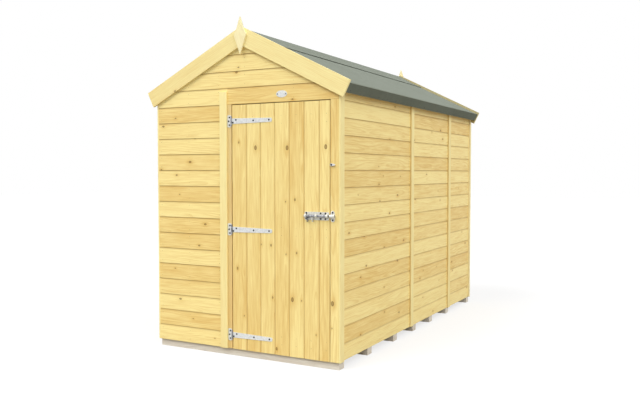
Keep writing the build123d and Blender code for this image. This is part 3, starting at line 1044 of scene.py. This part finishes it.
def mark_grain(piece, tone_range, deeper, knot):
    """Give each timber of a piece its own grain, along its longest edge, and its own tone.

    deeper is how much the tone gains from the timber's foot to its top, and knot is the place and
    radius of a listed knot.
    """
    draw = random.Random(piece.name)
    mesh = bmesh.new()
    mesh.from_mesh(piece.data)
    grain = mesh.verts.layers.float_vector.new("grain")
    mark = mesh.verts.layers.float_vector.new("mark")
    tone = mesh.verts.layers.float.new("tone")
    point, radius = knot or ((0, 0, 0), 0.0)
    mesh.edges.index_update()
    for part in loose_parts(mesh):
        edges = {edge for vert in part for edge in vert.link_edges}
        edges = sorted(edges, key=lambda edge: edge.index)
        longest = max(edges, key=lambda edge: round(edge.calc_length(), 5))
        along = (longest.verts[1].co - longest.verts[0].co).normalized()
        other = Vector((0, 1, 0) if abs(along.y) < squarely else (1, 0, 0))
        across = along.cross(other).normalized()
        depth = across.cross(along)
        centre = sum((vert.co for vert in part), Vector()) / len(part)
        start = heart(draw)
        shade = draw.uniform(*tone_range)
        foot = min(vert.co.z for vert in part)
        tall = max(vert.co.z for vert in part) - foot
        for vert in part:
            place = vert.co - centre
            vert[grain] = Vector((place.dot(along), place.dot(depth), place.dot(across))) + start
            way = vert.co - Vector(point)
            vert[mark] = (way.dot(along), radius, way.dot(across))
            vert[tone] = shade + deeper * (vert.co.z - foot) / tall
    mesh.to_mesh(piece.data)
    mesh.free()


def clean_copy(node, name):
    """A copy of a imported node's mesh, merged and with its flat faces whole."""
    data = frame["nodes"][node].data.copy()
    data.materials.clear()
    piece = link_piece(name, data)
    pick(piece)
    bpy.ops.mesh.customdata_custom_splitnormals_clear()
    open_mesh(piece)
    bpy.ops.mesh.select_all(action="SELECT")
    bpy.ops.mesh.remove_doubles(threshold=weld)
    bpy.ops.mesh.dissolve_limited(angle_limit=math.radians(0.5))
    close_mesh()
    return piece


def planed(node, tone_range, kind=None, deeper=0.0, knot=None):
    """A packed timber with eased edges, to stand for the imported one."""
    piece = clean_copy(node, node + "_planed")
    ease(piece, timber().arris, degrees=30)
    mark_grain(piece, tone_range, deeper, knot)
    smooth(stand_for(piece, node, kind), timber_angle)
    return piece


class SHED_OT_trim(bpy.types.Operator):
    """Posts beside the door, cover strips and corner trims"""

    bl_idname = "shed.trim"
    bl_label = "Posts and trim"

    def execute(self, context):
        # The post beside the hinges is painted in the cover strip's shade
        planed("hinge_post", (0.5, 0.55), "grey_post", deeper=-0.35)
        planed("latch_post", (0.0, 0.04), deeper=0.5, knot=post_knot)
        planed("front_cover_strip", (0.18, 0.2), deeper=-0.24)
        strips = planed("side_cover_strips", (0.08, 0.18))
        # The side strips' front and back edges are painted in shade
        refinish(strips, "grey_post", lambda face: abs(face.normal.y) > squarely)
        for side_name in sides:
            planed("corner_trim_front_" + side_name, (0.04, 0.12))
            planed("corner_trim_back_" + side_name, (0.0, 0.1), "pale_trim")
        return {"FINISHED"}


class SHED_OT_barges(bpy.types.Operator):
    """Barge boards and finials"""

    bl_idname = "shed.barges"
    bl_label = "Barge boards"

    def execute(self, context):
        upward = 0.8
        planed("barge_front_left", (0.24, 0.28), deeper=-0.2)
        planed("barge_front_right", (0.06, 0.1))
        for side_name in sides:
            back = planed("barge_back_" + side_name, (0.1, 0.2))
            # The back barges' inner sides and top edges take a darker colour
            refinish(back, "weathered",
                     lambda face: face.normal.y < -squarely or face.normal.z > upward)
        for end in ("front", "back"):
            planed("finial_" + end, (0.0, 0.02), "pale_trim")
        return {"FINISHED"}


class SHED_OT_framing(bpy.types.Operator):
    """Bearers, studs, rails, rafters, battens, ledges and braces"""

    bl_idname = "shed.framing"
    bl_label = "Framing"

    def execute(self, context):
        planed("bearers", (0.1, 0.6))
        for node in (
            "side_studs", "side_rails", "gable_studs", "gable_rails", "gable_rafters",
            "roof_battens", "door_ledges", "door_braces"
        ):
            planed(node, (0.05, 0.5))
        return {"FINISHED"}


# Floor and roof

class SHED_OT_floor_boards(bpy.types.Operator):
    """Tongued and grooved floor boards"""

    bl_idname = "shed.floor_boards"
    bl_label = "Floor boards"

    def execute(self, context):
        draw = random.Random("floor")
        flat = Matrix.Rotation(math.radians(-90), 4, "X")
        pieces = []
        for number, (low, high) in enumerate(solid_boxes("floor_panels")):
            board = tongued_board(high.x - low.x, high.z - low.z, board_cover, eased_edge(),
                                  eased_edge())
            places = []
            for y in spaced(low.y, high.y, board_cover):
                place = Matrix.Translation((low.x, y, high.z)) @ flat
                places.append((place, draw.uniform(*floor_tones)))
            panel = lay_boards(f"floor_panel_{number}", board, places)
            drop(board)
            cut_off(panel, ((0, high.y, 0), (0, 1, 0)))
            pieces.append(panel)
        floor = join_pieces("floor_boards", pieces)
        smooth(stand_for(floor, "floor_panels"), board_angle)
        return {"FINISHED"}


class SHED_OT_roof_boards(bpy.types.Operator):
    """Tongued and grooved boards under the felt"""

    bl_idname = "shed.roof_boards"
    bl_label = "Roof boards"

    def execute(self, context):
        draw = random.Random("roof")
        for side_name, side in sides.items():
            node = "roof_deck_" + side_name
            low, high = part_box(node)
            thick = (high.z - ridge_height) * slope_cos
            reach = max(abs(low.x), abs(high.x)) / slope_cos - thick * math.tan(slope)
            down, out = down_from(side), out_of(side)
            along = out.cross(down)
            turn = Matrix((along, out, down)).transposed().to_4x4()
            board = tongued_board(high.y - low.y, thick, board_cover, eased_edge(), door_edge())
            start = Vector((0, low.y if along.y > 0 else high.y, ridge_height))
            places = []
            for run in spaced(0, reach, board_cover):
                place = Matrix.Translation(start + turn @ Vector((0, 0, run))) @ turn
                places.append((place, draw.uniform(*roof_tones)))
            piece = lay_boards(node + "_boards", board, places)
            drop(board)
            cut_off(piece, (start + down * reach, down), ((0, 0, 0), (-side, 0, 0)))
            smooth(stand_for(piece, node), board_angle)
        return {"FINISHED"}


def felt_level():
    """Level of the felt's top over the roof boards' underside, square to the slope."""
    return (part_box("felt_right")[1].z - ridge_height) * slope_cos + roof().lift


def roof_point(side, run, level):
    """A point in the middle of the shed's length, a run down a slope and at a level over it."""
    across = side * (run * slope_cos + level * slope_sin)
    return Vector((across, 0, ridge_height - run * slope_sin + level * slope_cos))


def run_of(point, side):
    """Distance down the slope from the ridge."""
    return side * point.x * slope_cos - (point.z - ridge_height) * slope_sin


def felt_slope(name, side, reach, level, rows):
    """A sheet from the ridge down one slope, at a level over the boards' underside."""
    columns = 110
    low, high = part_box("felt_right")
    deselect_all()
    bpy.ops.mesh.primitive_grid_add(
        x_subdivisions=rows, y_subdivisions=columns, size=1,
        location=roof_point(side, reach / 2, level), rotation=(0, side * slope, 0)
    )
    sheet = bpy.context.object
    sheet.scale = (reach, high.y - low.y, 1)
    apply_place()
    return name_piece(sheet, name)


def ripple_felt(sheet, side, limit):
    """Soft ripples, none where the felt is nailed at its edges."""
    nailed_run = 0.06
    nailed_end = 0.05
    texture = bpy.data.textures.new(sheet.name, "CLOUDS")
    texture.noise_scale = 0.32
    texture.noise_depth = 2
    group = sheet.vertex_groups.new(name="free")
    low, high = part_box("felt_right")
    for vert in sheet.data.vertices:
        free_run = (limit - run_of(vert.co, side)) / nailed_run
        free_end = min(vert.co.y - low.y, high.y - vert.co.y) / nailed_end
        group.add([vert.index], min(1, max(0, free_run)) * min(1, free_end), "REPLACE")
    apply_modifier(sheet, "DISPLACE", texture=texture, strength=roof().ripple, mid_level=0.35,
                   vertex_group="free", texture_coords="LOCAL")
    bpy.data.textures.remove(texture)
    sheet.vertex_groups.clear()


def mark_fold_shade(piece, amount_at):
    """Mark the shade painted on the fold: how dark each point of the felt is."""
    data = piece.data.attributes.new("fold", "FLOAT", "POINT").data
    for vert in piece.data.vertices:
        data[vert.index].value = amount_at(vert.co)


def face_out(sheet, out):
    """Turn an open sheet's faces to one side."""
    open_mesh(sheet)
    bpy.ops.mesh.select_all(action="SELECT")
    bpy.ops.mesh.normals_make_consistent(inside=False)
    close_mesh()
    if sheet.data.polygons[0].normal.dot(out) < 0:
        open_mesh(sheet)
        bpy.ops.mesh.select_all(action="SELECT")
        bpy.ops.mesh.flip_normals()
        close_mesh()


def thicken_felt(sheet):
    apply_modifier(sheet, "SOLIDIFY", thickness=roof().felt_thick, offset=-1)


class SHED_OT_felt(bpy.types.Operator):
    """Felt on both slopes, folded over the eaves, and its capping"""

    bl_idname = "shed.felt"
    bl_label = "Felt"

    def execute(self, context):
        level = felt_level()
        for side_name, side in sides.items():
            self.lay_sheet(side, "felt_" + side_name, level)
        self.lay_capping(level + roof().felt_thick)
        return {"FINISHED"}

    def lay_sheet(self, side, node, level):
        fold_start = 0.004
        fold_shade = 0.65
        edge_share = 0.8
        low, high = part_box(node)
        reach = (max(abs(low.x), abs(high.x)) - level * slope_sin) / slope_cos
        edge_height = ridge_height - reach * slope_sin + level * slope_cos
        fold = (edge_height - low.z) / slope_cos
        sheet = felt_slope(node + "_sheet", side, reach, level, rows=24)
        ripple_felt(sheet, side, reach)
        open_mesh(sheet)
        choose(sheet, "edges",
               lambda edge: all(run_of(vert.co, side) > reach - weld for vert in edge.verts))
        inward = out_of(side) * -fold
        bpy.ops.mesh.extrude_edges_move(TRANSFORM_OT_translate={"value": inward})
        close_mesh()
        face_out(sheet, out_of(side))
        thicken_felt(sheet)
        ease(sheet, roof().felt_thick * edge_share, degrees=60, segments=3)
        # The fold at the eaves is painted darker, as shade
        mark_fold_shade(sheet, lambda point: fold_shade * (run_of(point, side) > reach - fold_start))
        smooth(stand_for(sheet, node), felt_angle)

    def lay_capping(self, level):
        lap_curve = 8
        ridge_curve = 3
        values = roof()
        cap = felt_slope("felt_capping", 1, values.lap, level, rows=8)
        for vert in cap.data.vertices:
            run = run_of(vert.co, 1)
            lift = values.lap_lift * max(0, run / values.lap) ** lap_curve
            lift += values.ridge_lift * max(0, 1 - run / values.lap) ** ridge_curve
            vert.co += out_of(1) * lift
            if run < weld:
                vert.co.x = 0
                vert.co.z = ridge_height + level / slope_cos + lift
        apply_modifier(cap, "MIRROR", use_axis=(True, False, False), use_clip=True,
                       merge_threshold=0.0005)
        thicken_felt(cap)
        mark_fold_shade(cap, lambda point: 0.0)
        smooth(stand_for(cap, "felt_ridge"), felt_angle)


# Screws and nails

def head_template(radius, thick, corners, rise):
    """A round head that faces -Y with its back on y = 0."""
    deselect_all()
    bpy.ops.mesh.primitive_cylinder_add(
        vertices=corners, radius=radius, depth=thick, location=(0, -thick / 2, 0),
        rotation=(math.radians(90), 0, 0)
    )
    apply_place()
    head = bpy.context.object
    open_mesh(head)
    choose(head, "faces", lambda face: face.normal.y < -squarely)
    bpy.ops.mesh.inset(thickness=radius * 0.35)
    bpy.ops.transform.translate(value=(0, -rise, 0))
    close_mesh()
    return head


def screw_template(radius):
    """A countersunk head with a cross recess, whose faces take the second material, a painted
    shade.
    """
    head = head_template(radius, thick=0.0012, corners=16, rise=0.0005)
    front = min(vert.co.y for vert in head.data.vertices)
    spare = 0.001
    recess = 0.0011
    skin = 0.0002
    arm = radius * 0.55
    half = radius * 0.16
    for across, up in ((arm, half), (half, arm)):
        bar = add_box((-across, front - spare, -up), (across, front + recess, up))
        apply_modifier(head, "BOOLEAN", operation="DIFFERENCE", object=bar, solver="EXACT")
        drop(bar)
    for face in head.data.polygons:
        inside = max(abs(face.center.x), abs(face.center.z)) < arm + weld
        if inside and face.center.y > front + skin:
            face.material_index = 1
    return head


def set_heads(name, template, places, body, finishes):
    """Copies of a head as one piece; places are (point, facing) pairs."""
    mesh = bmesh.new()
    draw = random.Random(name)
    for point, facing in places:
        first = len(mesh.verts)
        mesh.from_mesh(template.data)
        mesh.verts.ensure_lookup_table()
        spin = Matrix.Rotation(draw.uniform(0, math.pi), 4, "Y")
        turn = forward.rotation_difference(facing).to_matrix().to_4x4()
        matrix = Matrix.Translation(point) @ turn @ spin
        for vert in mesh.verts[first:]:
            vert.co = matrix @ vert.co
    piece = new_piece(name, mesh)
    for kind in finishes:
        piece.data.materials.append(finish(kind))
    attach(piece, body)
    smooth(piece, head_angle)


def set_screws(name, places, y, body, radius):
    """Screws that face forward; places are (across, up) pairs."""
    template = screw_template(radius)
    heads = [(Vector((x, y, z)), forward) for x, z in places]
    set_heads(name, template, heads, body, ("screw", "recess"))
    drop(template)


# How far a board nail is let in, and how far nails stand from a board's middle
nail_let_in = 0.0002
nail_rise = board_cover * 0.28


def board_nails():
    """Two nails in each wall board at each framing member, as (point, facing) pairs."""
    panel_edge = 0.038
    trim_edge = 0.025
    strip_edge = 0.014
    back_edge = 0.05
    roof_gap = 0.03
    places = []

    def in_row(row, x, y, facing):
        """Both nails of a row's board at one framing member, if they are under the roof."""
        centre = wall_bottom + (row - 0.5) * board_cover
        for height in (centre - nail_rise, centre + nail_rise):
            if height < ridge_height - abs(x) * math.tan(slope) - roof_gap or facing.x:
                places.append((Vector((x, y, height)), facing))

    for side_name, side in sides.items():
        for number in (1, 2, 3):
            low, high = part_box(f"{side_name}_wall_{number}")
            for y in (low.y + panel_edge, (low.y + high.y) / 2, high.y - panel_edge):
                for row in range(1, wall_rows + 1):
                    in_row(row, side * (half_width - nail_let_in), y, Vector((side, 0, 0)))
    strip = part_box("front_cover_strip")[0].x
    left_of_door = (-half_width + trim_edge, (strip - half_width) / 2, strip - strip_edge)
    over_door = (0.02, half_width - trim_edge, half_width * 0.55)
    behind = (-half_width + back_edge, -half_width / 3, half_width / 3, half_width - back_edge)
    for row in range(1, gable_rows + 1):
        for x in left_of_door + (over_door if row > door_rows else ()):
            in_row(row, x, front_face + nail_let_in, forward)
        for x in behind:
            in_row(row, x, back_face - nail_let_in, -forward)
    return places


def door_nails():
    """Two nails in each door board at each ledge."""
    ledge_edge = 0.009
    leaf_edge = 0.02
    low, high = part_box("door_boards")
    places = []
    for ledge_low, ledge_high in solid_boxes("door_ledges"):
        start = low.x + timber().first_door_board / 2
        for x in spaced(start, high.x - leaf_edge, board_cover):
            for z in (ledge_low.z + ledge_edge, ledge_high.z - ledge_edge):
                places.append((Vector((x, low.y + nail_let_in, z)), forward))
    return places


def clout_nails():
    """Nails along the felt's folds at both eaves."""
    below_top = 0.03
    first_nail = 0.06
    last_gap = 0.05
    low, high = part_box("felt_right")
    reach = (high.x - felt_level() * slope_sin) / slope_cos
    places = []
    for side in sides.values():
        edge = roof_point(side, reach, -below_top)
        for y in spaced(low.y + first_nail, high.y - last_gap, roof().nail_spacing):
            places.append((edge + Vector((0, y, 0)), down_from(side)))
    return places


class SHED_OT_nails(bpy.types.Operator):
    """Nail heads in the boards and clout nails along the felt's folds"""

    bl_idname = "shed.nails"
    bl_label = "Nails"

    def execute(self, context):
        nail = head_template(fitting().nail_radius, thick=0.0006, corners=8, rise=0.0002)
        set_heads("board_nails", nail, board_nails(), "shed", ("nail",))
        set_heads("door_board_nails", nail, door_nails(), "door", ("nail",))
        drop(nail)
        clout = head_template(fitting().clout_radius, thick=0.001, corners=10, rise=0.0005)
        set_heads("felt_clouts", clout, clout_nails(), "shed", ("clout",))
        drop(clout)
        return {"FINISHED"}


# Fittings

def plated(node, kind=None):
    """A packed fitting with its edges just rounded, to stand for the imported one."""
    piece = clean_copy(node, node + "_plated")
    ease(piece, fitting().edge, degrees=40)
    smooth(stand_for(piece, node, kind), fitting_angle)
    return piece


class SHED_OT_hinges(bpy.types.Operator):
    """Three tee hinges with their screws"""

    bl_idname = "shed.hinges"
    bl_label = "Tee hinges"

    def execute(self, context):
        strap_screws = ((0.012, -0.010), (0.037, 0.008), (0.178, 0), (0.302, 0))
        plate_screws = ((-0.0165, 0.026), (-0.0225, 0), (-0.0165, -0.026))
        surface = front_face - fitting_sheet
        pin_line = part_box("hinge_straps")[0].x + knuckle_radius
        for node in ("hinge_straps", "hinge_plates"):
            # The knuckles along the pin are painted darker, as shade
            refinish(plated(node), "knuckle", lambda face: face.center.y < surface - weld
                     and abs(face.center.x - pin_line) < knuckle_radius)
        pins = [(low.x + knuckle_radius, (low.z + high.z) / 2)
                for low, high in solid_boxes("hinge_straps")]
        for name, screws, body in (
            ("hinge_strap_screws", strap_screws, "door"),
            ("hinge_plate_screws", plate_screws, "shed"),
        ):
            places = [(pin + x, height + z) for pin, height in pins for x, z in screws]
            set_screws(name, places, surface, body, fitting().screw_radius)
        return {"FINISHED"}


class SHED_OT_pad_bolt(bpy.types.Operator):
    """Pad bolt with its keeper and screws"""

    bl_idname = "shed.pad_bolt"
    bl_label = "Pad bolt"

    def execute(self, context):
        plated("bolt_plate", "galvanised")
        plated("bolt_keeper", "galvanised")
        plated("bolt_rod", "rod")
        plate_columns = (0.012, 0.117, 0.152)
        plate_rise = 0.018
        keeper_rise = 0.024
        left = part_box("bolt_plate")[0].x
        middle = sum(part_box("bolt_keeper"), Vector()) / 2
        surface = front_face - fitting_sheet
        radius = fitting().screw_radius
        places = [(left + x, middle.z + side * plate_rise) for x in plate_columns
                  for side in (-1, 1)]
        set_screws("bolt_plate_screws", places, surface, "door", radius)
        places = [(middle.x, middle.z + side * keeper_rise) for side in (-1, 1)]
        set_screws("keeper_screws", places, surface, "shed", radius)
        return {"FINISHED"}


class SHED_OT_turn_button(bpy.types.Operator):
    """Turn button with its screw"""

    bl_idname = "shed.turn_button"
    bl_label = "Turn button"

    def execute(self, context):
        plated("turn_button")
        low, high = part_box("turn_button")
        pivot = (low.x + (high.z - low.z) / 2, (low.z + high.z) / 2)
        set_screws("button_screw", [pivot], low.y, "button", fitting().screw_radius)
        return {"FINISHED"}


class SHED_OT_oval_plate(bpy.types.Operator):
    """Bare oval plate over the door"""

    bl_idname = "shed.oval_plate"
    bl_label = "Oval plate"

    def execute(self, context):
        screw_reach = 0.032
        values = fitting()
        plate = plated("oval_plate")
        low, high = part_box("oval_plate")
        middle = (low + high) / 2
        wide, tall = high.x - low.x, high.z - low.z
        spare = (tall - values.oval_height) / 2
        open_mesh(plate)
        bpy.ops.mesh.select_all(action="SELECT")
        bpy.ops.transform.resize(
            value=(values.oval_width / wide, 1, values.oval_height / tall), center_override=middle
        )
        bpy.ops.transform.translate(value=(0, 0, -spare))
        close_mesh()
        places = [(middle.x + side * screw_reach, middle.z - spare) for side in (-1, 1)]
        set_screws("oval_plate_screws", places, low.y, "shed", values.small_screw_radius)
        return {"FINISHED"}


# Stage

white = (1, 1, 1, 1)

# Lamps: the way to each, its power, and its spread in degrees
lamps = {
    "key": ((-0.35, -0.6, 0.85), 2.15, 35),
    "fill": ((0.85, -0.35, 0.75), 1.9, 60),
    "overhead": ((0.1, 0, 1), 0.3, 70),
}
lamp_distance = 4
floor_size = 60


def white_rays(tree):
    """One where the camera, a reflection or clear glass looks."""
    rays = tree.add("ShaderNodeLightPath").outputs
    both = tree.math("MAXIMUM", rays["Is Camera Ray"], rays["Is Glossy Ray"])
    return tree.math("MAXIMUM", both, rays["Is Transmission Ray"])


def light_world(values):
    world = bpy.data.worlds.new("studio")
    bpy.context.scene.world = world
    tree = empty_tree(world)
    light, plain = (
        tree.add("ShaderNodeBackground", {"Color": white, "Strength": power}).outputs[0]
        for power in (values.sky, 1.0)
    )
    mixed = tree.add("ShaderNodeMixShader", {0: white_rays(tree), 1: light, 2: plain})
    tree.add("ShaderNodeOutputWorld", {"Surface": mixed.outputs[0]})


def lay_stage_floor(values):
    deselect_all()
    bpy.ops.mesh.primitive_plane_add(size=floor_size, location=(0, 0, 0))
    floor = name_piece(bpy.context.object, "studio_floor")
    material, tree = new_material("studio floor")
    matte = tree.add("ShaderNodeBsdfDiffuse", {"Color": full(values.floor)})
    power = tree.math("MULTIPLY", white_rays(tree), values.floor_glow)
    glow = tree.add("ShaderNodeEmission", {"Color": white, "Strength": power})
    both = tree.add("ShaderNodeAddShader", {0: matte.outputs[0], 1: glow.outputs[0]})
    tree.add("ShaderNodeOutputMaterial", {"Surface": both.outputs[0]})
    floor.data.materials.append(material)


def add_sun(name, way, power, spread):
    """A soft distant lamp that shines from a direction."""
    deselect_all()
    bpy.ops.object.light_add(type="SUN", location=Vector(way) * lamp_distance)
    lamp = bpy.context.object
    lamp.name = name
    lamp.rotation_euler = Vector(way).to_track_quat("Z", "Y").to_euler()
    lamp.data.energy = power
    lamp.data.angle = math.radians(spread)


class SHED_OT_stage(bpy.types.Operator):
    """Floor, lamps, white surroundings and camera"""

    bl_idname = "shed.stage"
    bl_label = "Stage"

    def execute(self, context):
        values = stage()
        light_world(values)
        lay_stage_floor(values)
        for name, row in lamps.items():
            add_sun(name, *row)
        deselect_all()
        turn = (math.radians(90) - values.camera_drop, 0, values.camera_turn)
        bpy.ops.object.camera_add(location=values.camera_place, rotation=turn)
        camera = context.object
        camera.data.lens = values.lens
        camera.data.sensor_width = 36
        camera.data.sensor_fit = "HORIZONTAL"
        context.scene.camera = camera
        context.scene.view_settings.view_transform = "Standard"
        return {"FINISHED"}


steps = (
    SHED_OT_framing, SHED_OT_floor_boards, SHED_OT_front_boards, SHED_OT_back_boards,
    SHED_OT_side_boards, SHED_OT_trim, SHED_OT_roof_boards, SHED_OT_felt, SHED_OT_barges,
    SHED_OT_door_boards, SHED_OT_hinges, SHED_OT_pad_bolt, SHED_OT_turn_button,
    SHED_OT_oval_plate, SHED_OT_nails, SHED_OT_stage,
)

groups = {
    "shed_timber": ShedTimberSettings,
    "shed_roof": ShedRoofSettings,
    "shed_fitting": ShedFittingSettings,
    "shed_stage": ShedStageSettings,
}


class SHED_PT_panel(bpy.types.Panel):
    """Steps and settings of the shed"""

    bl_label = "Apex shed"
    bl_idname = "SHED_PT_panel"
    bl_space_type = "VIEW_3D"
    bl_region_type = "UI"
    bl_category = "Shed"

    def draw(self, context):
        for step in steps:
            self.layout.operator(step.bl_idname)
        for name in groups:
            values = getattr(context.scene, name)
            box = self.layout.box()
            for key in values.__annotations__:
                box.prop(values, key)


def register():
    for name, group in groups.items():
        bpy.utils.register_class(group)
        setattr(bpy.types.Scene, name, bpy.props.PointerProperty(type=group))
    for step in steps:
        bpy.utils.register_class(step)
    bpy.utils.register_class(SHED_PT_panel)


def unregister():
    bpy.utils.unregister_class(SHED_PT_panel)
    for step in reversed(steps):
        bpy.utils.unregister_class(step)
    for name, group in groups.items():
        delattr(bpy.types.Scene, name)
        bpy.utils.unregister_class(group)


def main():
    register()
    for step in steps:
        area, name = step.bl_idname.split(".")
        getattr(getattr(bpy.ops, area), name)()


if __name__ == "__main__":
    main()
